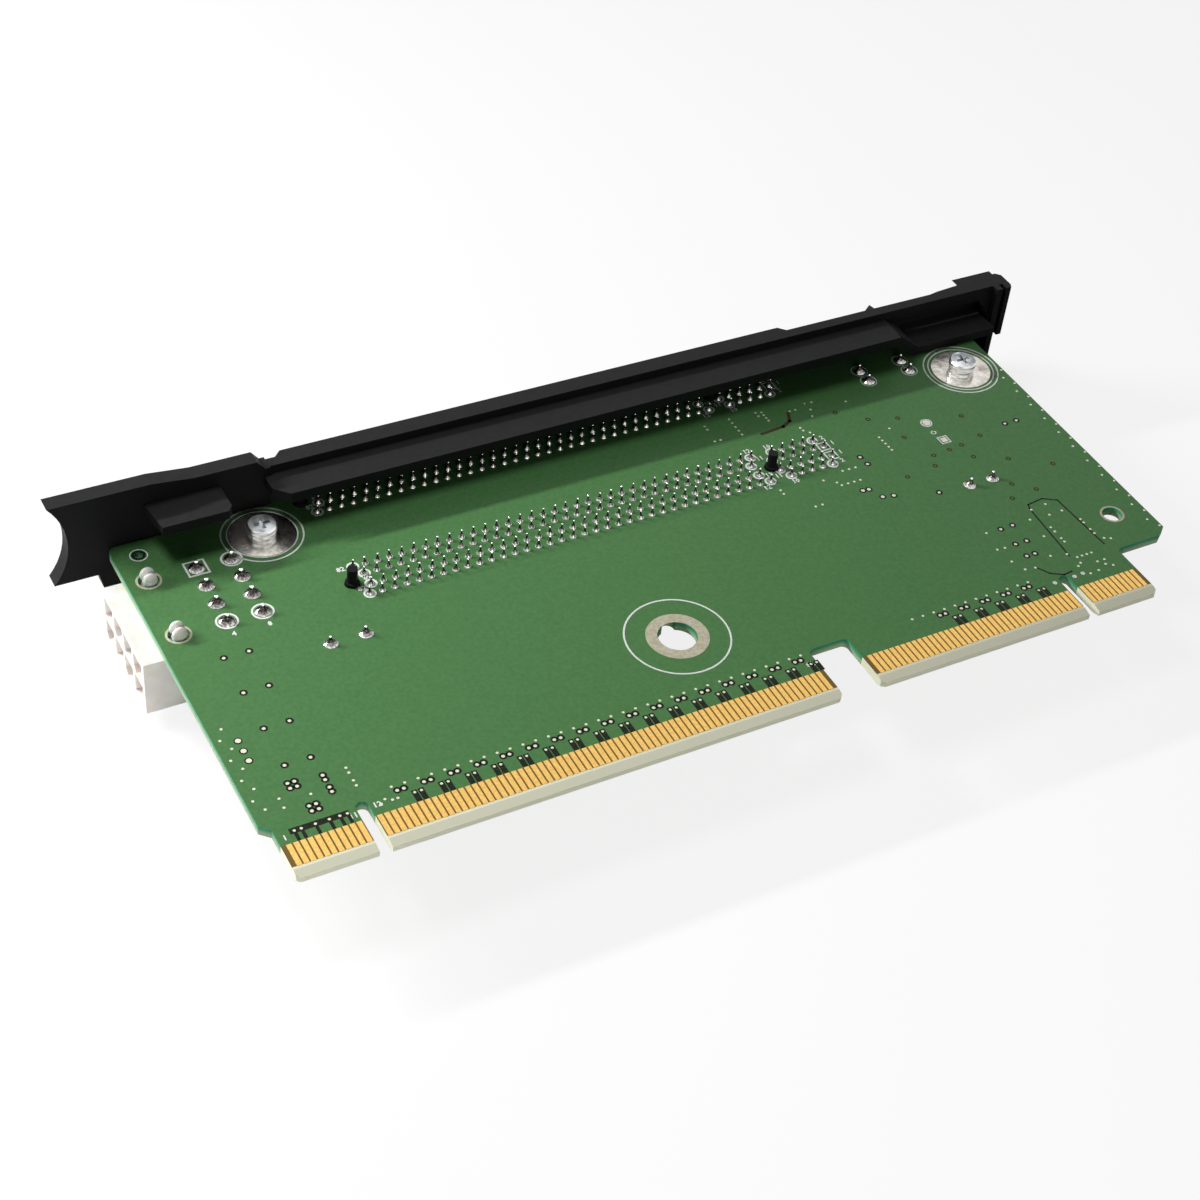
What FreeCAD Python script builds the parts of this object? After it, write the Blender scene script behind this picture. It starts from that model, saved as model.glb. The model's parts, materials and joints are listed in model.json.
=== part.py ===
import FreeCAD, Part
import math
import os
import re
import Sketcher

# PCIe riser card for a rack server, millimetres.
# X runs along the card, Y from the edge tongues to the bracket, Z out of the solder face.
# The origin is the centre of the long tongue's key notch, at the tongue's tip, halfway through the board.

SIZES = {
    # circuit board: its far edge lies edge_beyond past the far slot, its right edge edge_right past the tongue
    "board_thick": 1.57, "left_edge": -14.0, "edge_right": 10.78, "edge_beyond": 4.79, "far_left_edge": -4.2,
    "far_step": -2.0, "left_shoulder": 9.0, "right_shoulder": 10.9, "corner_cut": 1.5, "tip_cut": 0.6,
    "tongue_gap_top": 10.4, "gap_round": 1.0, "board_round": 1.2, "bevel_long": 1.4, "bevel_deep": 0.35,
    # edge tongues: pins stand on one pitch, on both sides of a key notch
    "pin_pitch": 1.0, "key_to_pin": 1.5, "key_wide": 1.9, "key_deep": 9.0, "tongue_margin": 1.1,
    "short_pins": 11, "long_pins": 71, "second_pins": 38, "second_key": 119.12,
    "finger_wide": 0.74, "finger_start": 1.83, "finger_end": 5.8, "finger_thick": 0.04,
    # card slots
    "slot_key": 89.45, "near_slot": 50.29, "slot_spacing": 20.32, "slot_wide": 7.5, "slot_high": 11.25,
    "slot_left": 74.95, "slot_right": 14.05, "slot_deep": 8.4, "card_clear": 0.105, "key_clear": 0.1,
    "end_clear": 0.2, "mouth_flare": 0.9, "lip_thick": 1.2, "channel_deep": 0.75, "blade_relief": 0.1,
    "base_recess": 1.0, "wall_foot": 0.35, "row_inner": 1.25, "row_outer": 3.25, "blade_thick": 0.3,
    "blade_wide": 0.5, "blade_nip": 0.035, "blade_short": 1.9, "peg_foot": 2.2, "peg_tip": 1.6,
    "peg_stand": 3.0, "peg_clear": 0.12, "peg_step": 0.5, "peg_near": 0.45, "peg_far": 73.05,
    "peg_shift": -0.22,
    # solder joints on the solder face
    "joint_wide": 1.25, "joint_tip": 0.5, "joint_high": 1.5, "power_joint": 2.3, "power_tip": 1.07,
    "lead_joint": 1.9, "lead_tip": 0.7,
    # power header: eight cells on one pitch
    "header_front": -17.1, "header_long": 12.8, "header_middle": 55.8, "cell_pitch": 4.2, "cell_wall": 0.6,
    "cell_deep": 10.0, "cell_cut": 0.9, "header_pin": 1.07, "pin_grip": 0.02, "pin_reach": 3.2,
    "pin_column": -3.44, "column_spacing": 5.5, "latch_wide": 3.4, "latch_long": 4.0, "latch_high": 1.1,
    "lock_peg": 3.0, "lock_clear": 0.12, "lock_stand": 2.1, "lock_split": 0.5, "lock_peg_x": -10.75,
    # fixing holes and screws
    "left_screw_x": 8.27, "left_screw_y": -9.8, "right_screw_x": -7.2, "right_screw_y": -14.4,
    "screw_thread": 3.0, "thread_clear": 0.02, "screw_clear": 0.2, "screw_collar": 4.35, "collar_high": 1.2,
    "screw_head": 4.7, "screw_high": 2.2, "screw_long": 7.0, "recess_long": 2.5, "recess_wide": 0.62,
    "recess_deep": 1.1,
    "guide_hole": 1.65, "guide_x": -6.1, "guide_y": 18.3, "tool_hole": 0.65, "tool_x": -10.24, "tool_y": -7.37,
    "keyhole_x": 56.03, "keyhole_y": 20.78, "keyhole_radius": 3.0, "keyhole_slot": 1.15, "keyhole_reach": 4.2,
    # capacitors
    "can_wide": 10.0, "can_high": 10.4, "can_wall": 0.3, "can_bevel": 0.6, "bead_deep": 0.45,
    "bead_height": 1.9, "bead_wide": 1.2, "seal_thick": 1.3, "seal_inset": 0.3, "lead_wide": 0.6,
    "left_can_x": 11.24, "left_can_y": 39.3, "left_lead_gap": 5.5, "right_can_x": 120.73, "right_can_y": 33.7,
    "right_lead_gap": 4.55, "chip_long": 5.0, "chip_wide": 2.6, "chip_high": 4.6, "chip_stand": 0.6,
    "chip_bevel": 0.4, "chip_lead_gap": 3.0, "left_chip_x": 118.0, "right_chip_x": 126.5, "chip_y": -9.7,
    # bracket: heights above the board's middle, places across it from the board's far edge
    "lip_front": -9.2, "lip_top": 6.8, "lip_under": 5.0, "lip_left": 11.1, "lip_bevel": 2.2, "lip_right": -17.5,
    "rib_front": -3.5, "rib_top": 8.2, "rib_rear": -1.65, "rib_wide_rear": -0.45, "rib_wide_from": 14.9,
    "rib_wide_to": 104.8, "ledge_rear": -0.2, "wall_front": 0.2, "wall_rear": 2.0, "wall_drop": 11.0,
    "board_gap": 0.2, "ear_left": -22.2, "ear_top": 10.6, "ear_front": -3.8, "ear_rear": -1.1,
    "ear_bottom": -4.3, "ear_slope_from": -6.5, "ear_slope_to": 0.2, "ear_low_top": 9.8, "ear_right": 10.0,
    "ear_end_slope": 1.3, "ear_arc": 12.0, "foot_left": -15.4, "foot_low": -7.4, "foot_slope": 0.65,
    "lug_left": -7.9, "lug_right": 4.0, "lug_front": -9.95, "lug_top": 7.2, "lug_thick": 1.6, "lug_bevel": 0.8,
    "end_right": 9.1, "end_plate": 1.4, "end_groove": 0.8, "end_post": 1.2, "end_front": -4.94,
    "end_bottom": -2.0, "end_gusset": 6.2, "end_arc": 14.0, "end_rear": -0.33, "end_bevel": 0.8,
    "end_widen": -5.1, "groove_deep": 1.6, "end_low": -9.0, "shelf_left": -12.3, "shelf_front": -7.9,
    "shelf_top": 2.5, "boss_wide": 8.0, "boss_low": 6.6, "bridge_wide": 5.0, "bridge_thick": 2.0,
}

# Places across the board that are measured from its far edge, and places along it from its right edge.
FROM_FAR_EDGE = {
    "far_left_edge", "left_screw_y", "right_screw_y", "tool_y", "chip_y", "lip_front", "rib_front", "rib_rear",
    "rib_wide_rear", "ledge_rear", "wall_front", "wall_rear", "ear_front", "ear_rear", "lug_front", "end_front",
    "end_rear", "shelf_front"}
FROM_RIGHT_EDGE = {"right_screw_x", "guide_x", "lip_right", "end_right", "end_widen", "shelf_left"}
FAR_EDGE = "(near_slot+slot_spacing+edge_beyond)"
RIGHT_EDGE = "(second_key+key_to_pin+(short_pins-1)*pin_pitch+tongue_margin+edge_right)"

SOLDER = "board_thick/2"
UNDER = "-board_thick/2"
TAU = 2 * math.pi

doc = FreeCAD.newDocument("riser_card")
sheet = doc.addObject("Spreadsheet::Sheet", "Sizes")
for row, (alias, number) in enumerate(SIZES.items(), start=1):
    sheet.set(f"A{row}", alias.replace("_", " "))
    sheet.set(f"B{row}", str(number))
    sheet.setAlias(f"B{row}", alias)
doc.recompute()

pieces = []


def spelled(expression):
    """The expression with the board's edge added to every place that is measured from it."""
    def full(word):
        name = word[0]
        edge = FAR_EDGE if name in FROM_FAR_EDGE else RIGHT_EDGE if name in FROM_RIGHT_EDGE else None
        return f"({edge}+{name})" if edge else name
    return re.sub(r"[a-z]\w*", full, expression)


def value(expression):
    """The number that an expression of sheet names stands for."""
    return float(sheet.evalExpression(spelled(expression)))


def bound(expression):
    """The same expression as other objects of the document write it."""
    return re.sub(r"[a-z]\w*", lambda word: "Sizes." + word[0] if word[0] in SIZES else word[0],
                  spelled(expression))


def new_body(label):
    body = doc.addObject("PartDesign::Body", label)
    body.Label = label
    pieces.append(body)
    return body


def origin_feature(body, role):
    return [feature for feature in body.Origin.OriginFeatures if feature.Role == role][0]


# Each plane's role, and the sign that turns a place along the world axis into an offset along its normal.
PLANES = {"X": ("YZ_Plane", 1), "Y": ("XZ_Plane", -1), "Z": ("XY_Plane", 1)}


def new_sketch(body, name, axis, level):
    """An empty sketch square to a world axis, at a level along it."""
    role, sign = PLANES[axis]
    sketch = body.newObject("Sketcher::SketchObject", name)
    sketch.AttachmentSupport = (origin_feature(body, role), [""])
    sketch.MapMode = "FlatFace"
    sketch.setExpression("AttachmentOffset.Base.z", bound(f"{sign}*({level})"))
    return sketch


def hold(sketch, kind, *where, size):
    """Add a driving constraint whose value follows the sheet."""
    index = sketch.addConstraint(Sketcher.Constraint(kind, *where, value(size)))
    sketch.setExpression(f"Constraints[{index}]", bound(size))


def hold_point(sketch, geometry, end, point):
    hold(sketch, "DistanceX", -1, 1, geometry, end, size=point[0])
    hold(sketch, "DistanceY", -1, 1, geometry, end, size=point[1])


def arc_between(start, finish, radius, bulge):
    """Arc from start to finish; bulge 1 turns left along the way, -1 turns right."""
    chord = finish - start
    middle = (start + finish) * 0.5
    side = FreeCAD.Vector(-chord.y, chord.x, 0).normalize()
    centre = middle + side * bulge * math.sqrt(max(radius ** 2 - chord.Length ** 2 / 4, 0))
    first, last = (start, finish) if bulge > 0 else (finish, start)
    angles = [math.atan2(end.y - centre.y, end.x - centre.x) for end in (first, last)]
    if angles[1] < angles[0]:
        angles[1] += TAU
    circle = Part.Circle(centre, FreeCAD.Vector(0, 0, 1), radius)
    return Part.ArcOfCircle(circle, *angles)


def hold_arc(sketch, geometry, chord, corner):
    """Fix an arc by its radius, or, as a half circle, by the place of its centre on the chord."""
    if chord.Length < 1.999 * value(corner[2]):
        hold(sketch, "Radius", geometry, size=corner[2])
    elif abs(chord.x) > abs(chord.y):
        hold(sketch, "DistanceY", -1, 1, geometry, 3, size=corner[1])
    else:
        hold(sketch, "DistanceX", -1, 1, geometry, 3, size=corner[0])


def draw_outline(sketch, corners):
    """Closed outline. A corner is (x, y), or (x, y, radius, bulge) where an arc leads to the next corner."""
    places = [FreeCAD.Vector(value(corner[0]), value(corner[1]), 0) for corner in corners]
    first = sketch.GeometryCount
    ends = []
    for index, corner in enumerate(corners):
        start, finish = places[index], places[(index + 1) % len(corners)]
        if len(corner) == 2:
            sketch.addGeometry(Part.LineSegment(start, finish), False)
            ends.append((1, 2))
        else:
            sketch.addGeometry(arc_between(start, finish, value(corner[2]), corner[3]), False)
            ends.append((1, 2) if corner[3] > 0 else (2, 1))
    for index, corner in enumerate(corners):
        following = (index + 1) % len(corners)
        sketch.addConstraint(Sketcher.Constraint("Coincident", first + index, ends[index][1],
                                                 first + following, ends[following][0]))
        hold_point(sketch, first + index, ends[index][0], corner)
        if len(corner) > 2:
            hold_arc(sketch, first + index, places[following] - places[index], corner)


def draw_circle(sketch, x, y, radius):
    centre = FreeCAD.Vector(value(x), value(y), 0)
    index = sketch.addGeometry(Part.Circle(centre, FreeCAD.Vector(0, 0, 1), value(radius)), False)
    hold_point(sketch, index, 3, (x, y))
    hold(sketch, "Radius", index, size=radius)


def box_outline(left, low, right, high):
    return [(left, low), (right, low), (right, high), (left, high)]


def extrude(body, name, axis, low, high, outline=None, circles=(), cut=False):
    """Pad, or pocket, from one level to a higher one along a world axis."""
    sketch = new_sketch(body, name + "_outline", axis, low)
    if outline:
        draw_outline(sketch, outline)
    for circle in circles:
        draw_circle(sketch, *circle)
    before = 0 if body.Tip is None else body.Shape.Volume
    feature = body.newObject("PartDesign::Pocket" if cut else "PartDesign::Pad", name)
    feature.Profile = sketch
    feature.setExpression("Length", bound(f"({high})-({low})"))
    feature.Reversed = (PLANES[axis][1] < 0) != cut
    doc.recompute()
    if sketch.solve() != 0:
        raise ValueError(f"{body.Label}: {name} outline has clashing sizes")
    if cut and not body.Shape.Volume < before:
        raise ValueError(f"{body.Label}: {name} cuts nothing")
    return feature


def repeat(body, features, name, count, pitch, backwards=False, axis="X_Axis"):
    """Straight row of copies of a feature; count and pitch are expressions."""
    row = body.newObject("PartDesign::LinearPattern", name)
    row.Originals = features
    row.Direction = (origin_feature(body, axis), [""])
    row.Reversed = backwards
    row.setExpression("Length", bound(f"({count}-1)*({pitch})"))
    row.setExpression("Occurrences", bound(count))
    body.Tip = row
    doc.recompute()
    return row


def tapered_block(body, name, x, y, low, high, foot, tip):
    """Four-sided joint that narrows from its foot to its tip: a wedge whose own Y axis stands upright."""
    block = body.newObject("PartDesign::AdditiveWedge", name)
    block.AttachmentSupport = (origin_feature(body, "XZ_Plane"), [""])
    block.MapMode = "FlatFace"
    for way, place in (("x", x), ("y", low), ("z", f"-({y})")):
        block.setExpression(f"AttachmentOffset.Base.{way}", bound(place))
    block.Ymin = 0
    block.setExpression("Ymax", bound(f"({high})-({low})"))
    for side, wide in (("X", foot), ("Z", foot), ("X2", tip), ("Z2", tip)):
        block.setExpression(side + "min", bound(f"-({wide})/2"))
        block.setExpression(side + "max", bound(f"({wide})/2"))
    body.Tip = block
    doc.recompute()
    return block


def revolve(body, name, x, y, corners):
    """Solid turned about an upright axis at (x, y); corners are (radius, level) as in draw_outline."""
    sketch = new_sketch(body, name + "_outline", "Y", y)
    draw_outline(sketch, [(f"{x}+{corner[0]}",) + tuple(corner[1:]) for corner in corners])
    axis_line = sketch.addGeometry(Part.LineSegment(FreeCAD.Vector(value(x), 0, 0),
                                                    FreeCAD.Vector(value(x), 1, 0)), True)
    hold_point(sketch, axis_line, 1, (x, "0"))
    hold_point(sketch, axis_line, 2, (x, "1"))
    turned = body.newObject("PartDesign::Revolution", name)
    turned.Profile = sketch
    turned.ReferenceAxis = (sketch, ["Axis0"])
    turned.Angle = 360
    doc.recompute()
    return turned


# ---- circuit board -------------------------------------------------------------------------------

TONGUE_LEFT = "-(key_to_pin+(short_pins-1)*pin_pitch+tongue_margin)"
TONGUE_RIGHT = "key_to_pin+(long_pins-1)*pin_pitch+tongue_margin"
SECOND_LEFT = "second_key-key_to_pin-(second_pins-1)*pin_pitch-tongue_margin"
SECOND_RIGHT = "second_key+key_to_pin+(short_pins-1)*pin_pitch+tongue_margin"
FAR_SLOT = "near_slot+slot_spacing"
LOCK_ROWS = ("header_middle-1.5*cell_pitch", "header_middle+1.5*cell_pitch")


def tongue_tip(left, right):
    """Corners of one tongue's tip, from left to right, with both corners cut off."""
    return [(left, "tip_cut"), (f"{left}+tip_cut", "0"), (f"{right}-tip_cut", "0"), (right, "tip_cut")]


def make_board():
    body = new_body("circuit_board")
    outline = tongue_tip(TONGUE_LEFT, TONGUE_RIGHT)
    outline += [(TONGUE_RIGHT, "tongue_gap_top-gap_round", "gap_round", -1),
                (f"{TONGUE_RIGHT}+gap_round", "tongue_gap_top"),
                (f"{SECOND_LEFT}-gap_round", "tongue_gap_top", "gap_round", -1),
                (SECOND_LEFT, "tongue_gap_top-gap_round")]
    outline += tongue_tip(SECOND_LEFT, SECOND_RIGHT)
    outline += [(SECOND_RIGHT, "right_shoulder-gap_round", "gap_round", -1),
                (f"{SECOND_RIGHT}+gap_round", "right_shoulder"),
                (f"{RIGHT_EDGE}-corner_cut*1.4", "right_shoulder"), (RIGHT_EDGE, "right_shoulder+corner_cut"),
                (RIGHT_EDGE, f"{FAR_EDGE}-board_round", "board_round", 1),
                (f"{RIGHT_EDGE}-board_round", FAR_EDGE),
                ("far_step", FAR_EDGE), ("far_step", "far_left_edge"),
                ("left_edge+board_round", "far_left_edge", "board_round", 1),
                ("left_edge", "far_left_edge-board_round"),
                ("left_edge", f"left_shoulder-left_edge+{TONGUE_LEFT}"),
                (TONGUE_LEFT, "left_shoulder")]
    extrude(body, "board", "Z", UNDER, SOLDER, outline)
    for name, key in (("first_key", "0"), ("second_key_notch", "second_key")):
        half = "key_wide/2"
        notch = [(f"{key}-{half}", "-1"), (f"{key}+{half}", "-1"), (f"{key}+{half}", f"key_deep-{half}", half, 1),
                 (f"{key}-{half}", f"key_deep-{half}")]
        extrude(body, name, "Z", UNDER, SOLDER, notch, cut=True)
    for name, face, sign in (("upper_bevel", SOLDER, "-"), ("lower_bevel", UNDER, "+")):
        corners = [("0", face), ("bevel_long", face), ("0", f"{face}{sign}bevel_deep")]
        extrude(body, name, "X", "left_edge", RIGHT_EDGE, corners, cut=True)
    holes = [("left_screw_x", "left_screw_y", "screw_thread/2+screw_clear"),
             ("right_screw_x", "right_screw_y", "screw_thread/2+screw_clear"),
             ("guide_x", "guide_y", "guide_hole"), ("tool_x", "tool_y", "tool_hole"),
             ("keyhole_x", "keyhole_y", "keyhole_radius")]
    for slot in ("near_slot", FAR_SLOT):
        for peg in ("slot_key+peg_near", "slot_key-peg_far"):
            holes.append((peg, f"{slot}+peg_shift", "peg_foot/2+peg_clear"))
    holes += [("lock_peg_x", row, "lock_peg/2+lock_clear") for row in LOCK_ROWS]
    extrude(body, "holes", "Z", UNDER, SOLDER, circles=holes, cut=True)
    half = "keyhole_slot"
    low, high = "keyhole_y-keyhole_reach+keyhole_slot", "keyhole_y+keyhole_reach-keyhole_slot"
    left, right = "keyhole_x-keyhole_slot", "keyhole_x+keyhole_slot"
    ends = [(right, low), (right, high, half, 1), (left, high), (left, low, half, 1)]
    extrude(body, "keyhole_slot_cut", "Z", UNDER, SOLDER, ends, cut=True)


def make_fingers(label, key, towards_left, towards_right, low, high):
    """Gold fingers on one face of one tongue, in a group on each side of the key notch."""
    body = new_body(label)
    half = "finger_wide/2"
    for side, count, backwards in (("left", towards_left, True), ("right", towards_right, False)):
        middle = f"{key}{'-' if backwards else '+'}key_to_pin"
        pad = extrude(body, side + "_finger", "Z", low, high,
                      box_outline(f"{middle}-{half}", "finger_start", f"{middle}+{half}", "finger_end"))
        repeat(body, [pad], side + "_fingers", count, "pin_pitch", backwards)


def make_all_fingers():
    faces = (("solder_side", SOLDER, f"{SOLDER}+finger_thick"),
             ("component_side", f"{UNDER}-finger_thick", UNDER))
    for side, low, high in faces:
        make_fingers(f"x16_fingers_{side}", "0", "short_pins", "long_pins", low, high)
        make_fingers(f"x8_fingers_{side}", "second_key", "second_pins", "short_pins", low, high)


# ---- card slots ----------------------------------------------------------------------------------

MOUTH = f"{UNDER}-slot_high"
GAP_HALF = "(board_thick/2+card_clear)"
# The pins of a slot: where each row starts beside the key, and how many pins it has, two pitches apart.
OUTER_GROUPS = (("left", "slot_key-key_to_pin", "(long_pins+1)/2", True),
                ("right", "slot_key+key_to_pin+pin_pitch", "(short_pins-1)/2", False))
INNER_GROUPS = (("left", "slot_key-key_to_pin-pin_pitch", "(long_pins-1)/2", True),
                ("right", "slot_key+key_to_pin", "(short_pins+1)/2", False))


def make_slot_housing(label, middle):
    body = new_body(label)
    half = "slot_wide/2"
    extrude(body, "block", "Z", MOUTH, UNDER,
            box_outline("slot_key-slot_left", f"{middle}-{half}", "slot_key+slot_right", f"{middle}+{half}"))
    reach_left = "key_to_pin+(long_pins-1)*pin_pitch"
    reach_right = "key_to_pin+(short_pins-1)*pin_pitch"
    rib = "(key_wide/2-key_clear)"
    floor = f"{MOUTH}+slot_deep"
    for side, left, right in (
            ("long", f"slot_key-({reach_left}+tongue_margin+end_clear)", f"slot_key-{rib}"),
            ("short", f"slot_key+{rib}", f"slot_key+{reach_right}+tongue_margin+end_clear")):
        card = box_outline(left, f"{middle}-{GAP_HALF}", right, f"{middle}+{GAP_HALF}")
        extrude(body, side + "_gap", "Z", MOUTH, floor, card, cut=True)
    for side, left, right in (
            ("long", f"slot_key-({reach_left}+0.9*pin_pitch)", f"slot_key-{rib}-0.05"),
            ("short", f"slot_key+{rib}+0.2", f"slot_key+{reach_right}+0.9*pin_pitch")):
        for face, sign in (("front", "-"), ("rear", "+")):
            inner = f"{middle}{sign}({GAP_HALF}-blade_relief)"
            outer = f"{middle}{sign}({GAP_HALF}+channel_deep)"
            low, high = (outer, inner) if sign == "-" else (inner, outer)
            extrude(body, f"{side}_{face}_channel", "Z", f"{MOUTH}+lip_thick", UNDER,
                    box_outline(left, low, right, high), cut=True)
        extrude(body, side + "_recess", "Z", f"{UNDER}-base_recess", UNDER,
                box_outline(left, f"{middle}-{half}+wall_foot", right, f"{middle}+{half}-wall_foot"), cut=True)
    flare = [(f"{middle}-{GAP_HALF}-mouth_flare", MOUTH), (f"{middle}+{GAP_HALF}+mouth_flare", MOUTH),
             (f"{middle}+{GAP_HALF}", f"{MOUTH}+mouth_flare"), (f"{middle}-{GAP_HALF}", f"{MOUTH}+mouth_flare")]
    extrude(body, "mouth_flare_cut", "X", f"slot_key-({reach_left}+tongue_margin+end_clear)",
            f"slot_key+{reach_right}+tongue_margin+end_clear", flare, cut=True)
    for name, x in (("near_peg", "slot_key+peg_near"), ("far_peg", "slot_key-peg_far")):
        place = (x, f"{middle}+peg_shift")
        extrude(body, name + "_foot", "Z", f"{UNDER}-base_recess", f"{SOLDER}+peg_step",
                circles=[place + ("peg_foot/2",)])
        extrude(body, name, "Z", f"{SOLDER}+peg_step", f"{SOLDER}+peg_stand",
                circles=[place + ("peg_tip/2",)])


def make_contacts(label, middle, sign):
    """Spring contacts of one side of a slot: inner ones straight, outer ones with a jog to their tail."""
    body = new_body(label)
    half, tip = "blade_thick/2", f"{MOUTH}+blade_short"
    nose = "(board_thick/2-blade_nip)"
    inner = [(f"{middle}{sign}(row_inner-{half})", UNDER), (f"{middle}{sign}(row_inner+{half})", UNDER),
             (f"{middle}{sign}({nose}+blade_thick)", tip), (f"{middle}{sign}{nose}", tip)]
    jog_top, jog_low = f"{UNDER}-base_recess/3", f"{UNDER}-base_recess/3-blade_thick"
    outer = [(f"{middle}{sign}(row_outer-{half})", UNDER), (f"{middle}{sign}(row_outer+{half})", UNDER),
             (f"{middle}{sign}(row_outer+{half})", jog_low), (f"{middle}{sign}(row_inner+{half})", jog_low),
             (f"{middle}{sign}({nose}+blade_thick)", tip), (f"{middle}{sign}{nose}", tip),
             (f"{middle}{sign}(row_inner-{half})", jog_top), (f"{middle}{sign}(row_outer-{half})", jog_top)]
    for row, profile, groups in (("inner", inner, INNER_GROUPS), ("outer", outer, OUTER_GROUPS)):
        for side, first, count, backwards in groups:
            blade = extrude(body, f"{row}_{side}_blade", "X", f"{first}-blade_wide/2", f"{first}+blade_wide/2",
                            profile)
            repeat(body, [blade], f"{row}_{side}_blades", count, "2*pin_pitch", backwards)


def make_slot_joints(label, middle):
    """Soldered tails of one slot, four rows on the solder face."""
    body = new_body(label)
    for row, offset, groups in (("inner", "row_inner", INNER_GROUPS), ("outer", "row_outer", OUTER_GROUPS)):
        for face, sign in (("front", "-"), ("rear", "+")):
            for side, first, count, backwards in groups:
                name = f"{row}_{face}_{side}"
                joint = tapered_block(body, name, first, f"{middle}{sign}{offset}", SOLDER,
                                      f"{SOLDER}+joint_high", "joint_wide", "joint_tip")
                repeat(body, [joint], name + "_row", count, "2*pin_pitch", backwards)


def make_slots():
    for name, middle in (("near", "near_slot"), ("far", FAR_SLOT)):
        make_slot_housing(f"{name}_slot_housing", middle)
        make_contacts(f"{name}_slot_front_contacts", middle, "-")
        make_contacts(f"{name}_slot_rear_contacts", middle, "+")
        make_slot_joints(f"{name}_slot_solder_joints", middle)


# ---- power header --------------------------------------------------------------------------------

CELL_WIDE = "(cell_pitch-cell_wall)"
HEADER_WIDE = "(4*cell_pitch+2*cell_wall)"
HEADER_HIGH = "(2*cell_pitch+2*cell_wall)"
HEADER_MIDDLE = f"({UNDER}-{HEADER_HIGH}/2)"
HEADER_REAR = "header_front+header_long"
# Upper and lower row of cells, and the column of pins that each one feeds.
HEADER_ROWS = (("upper", f"{HEADER_MIDDLE}+cell_pitch/2", "pin_column"),
               ("lower", f"{HEADER_MIDDLE}-cell_pitch/2", "pin_column+column_spacing"))


def cell_outline(y, z, cut_corners):
    """One cell of the header, square or with its two outer corners cut."""
    half = f"{CELL_WIDE}/2"
    if not cut_corners:
        return box_outline(f"{y}-{half}", f"{z}-{half}", f"{y}+{half}", f"{z}+{half}")
    return [(f"{y}-{half}", f"{z}-{half}+cell_cut"), (f"{y}-{half}+cell_cut", f"{z}-{half}"),
            (f"{y}+{half}-cell_cut", f"{z}-{half}"), (f"{y}+{half}", f"{z}-{half}+cell_cut"),
            (f"{y}+{half}", f"{z}+{half}"), (f"{y}-{half}", f"{z}+{half}")]


def make_header():
    body = new_body("power_header_housing")
    extrude(body, "block", "X", "header_front", HEADER_REAR,
            box_outline(f"header_middle-{HEADER_WIDE}/2", f"{UNDER}-{HEADER_HIGH}",
                        f"header_middle+{HEADER_WIDE}/2", UNDER))
    grip = "(header_pin/2+pin_grip)"
    for row, z, column in HEADER_ROWS:
        for place in range(4):
            y = f"header_middle+({place}-1.5)*cell_pitch"
            keyed = (place % 2 == 0) == (row == "upper")
            extrude(body, f"{row}_cell_{place}", "X", "header_front", "header_front+cell_deep",
                    cell_outline(y, z, keyed), cut=True)
            extrude(body, f"{row}_grip_{place}", "X", "header_front+cell_deep", HEADER_REAR,
                    box_outline(f"{y}-{grip}", f"{z}-{grip}", f"{y}+{grip}", f"{z}+{grip}"), cut=True)
    floor = f"{UNDER}-{HEADER_HIGH}"
    ledge = f"{floor}-latch_high"
    latch = [("header_front", floor), ("header_front+latch_long", floor), ("header_front+latch_long", ledge),
             ("header_front+latch_long/2", ledge)]
    extrude(body, "latch_ramp", "Y", "header_middle-latch_wide/2", "header_middle+latch_wide/2", latch)
    for index, y in enumerate(LOCK_ROWS):
        top = f"{SOLDER}+lock_stand"
        revolve(body, f"lock_peg_{index}", "lock_peg_x", y, [
            ("0", UNDER), ("lock_peg/2", UNDER), ("lock_peg/2", f"{top}-lock_peg/2", "lock_peg/2", 1),
            ("0", top)])
        extrude(body, f"lock_split_{index}", "Z", SOLDER, top,
                box_outline("lock_peg_x-lock_peg", f"{y}-lock_split/2", "lock_peg_x+lock_peg",
                            f"{y}+lock_split/2"), cut=True)


def make_header_pins():
    body = new_body("power_header_pins")
    joints = new_body("power_header_solder_joints")
    half = "header_pin/2"
    for row, z, column in HEADER_ROWS:
        tip = "header_front+pin_reach"
        bent = [(tip, f"{z}-{half}"), (f"{column}+{half}", f"{z}-{half}"), (f"{column}+{half}", UNDER),
                (f"{column}-{half}", UNDER), (f"{column}-{half}", f"{z}+{half}"), (tip, f"{z}+{half}")]
        first = f"header_middle-1.5*cell_pitch"
        pin = extrude(body, row + "_pin", "Y", f"{first}-{half}", f"{first}+{half}", bent)
        repeat(body, [pin], row + "_pins", "4", "cell_pitch", axis="Y_Axis")
        joint = tapered_block(joints, row + "_joint", column, first, SOLDER, f"{SOLDER}+joint_high",
                              "power_joint", "power_tip")
        repeat(joints, [joint], row + "_joints", "4", "cell_pitch", axis="Y_Axis")


# ---- screws --------------------------------------------------------------------------------------

SCREWS = (("left", "left_screw_x", "left_screw_y"), ("right", "right_screw_x", "right_screw_y"))


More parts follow.
